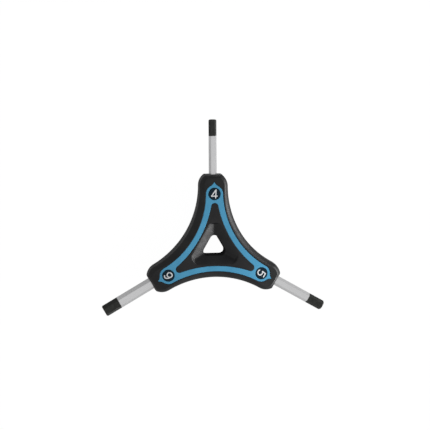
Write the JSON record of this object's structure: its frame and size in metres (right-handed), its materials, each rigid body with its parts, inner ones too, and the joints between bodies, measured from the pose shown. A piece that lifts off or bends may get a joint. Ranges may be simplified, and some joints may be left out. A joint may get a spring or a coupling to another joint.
{
  "type": "y wrench",
  "caption": "Y-shaped hand wrench with hex keys fixed in the ends of a two-shot moulded handle, with a hanging hole.",
  "frame": {"origin": "on the surface the tool lies on, under the middle of its footprint; the hub's axis is at x = 0.14 mm, y = -17 mm", "axes": "+Z out of the front face, +Y along the 4 mm key, with the 5 mm key towards +X and -Y and the 6 mm key towards -X and -Y"},
  "size_m": [0.1308, 0.1137, 0.017],
  "materials": {
    "grip": "soft black moulding with a fine matt texture",
    "core": "black moulding, slightly glossier in the dish",
    "ring": "satin mid blue",
    "badge": "satin blue-black with a white size numeral",
    "key": "satin chrome with a blackened tip"
  },
  "bodies": {
    "root": {"grip": "grip", "core": "core", "ring": "ring", "badge_4mm": "badge", "badge_5mm": "badge", "badge_6mm": "badge", "key_4mm": "key", "key_5mm": "key", "key_6mm": "key"}
  },
  "joints": []
}
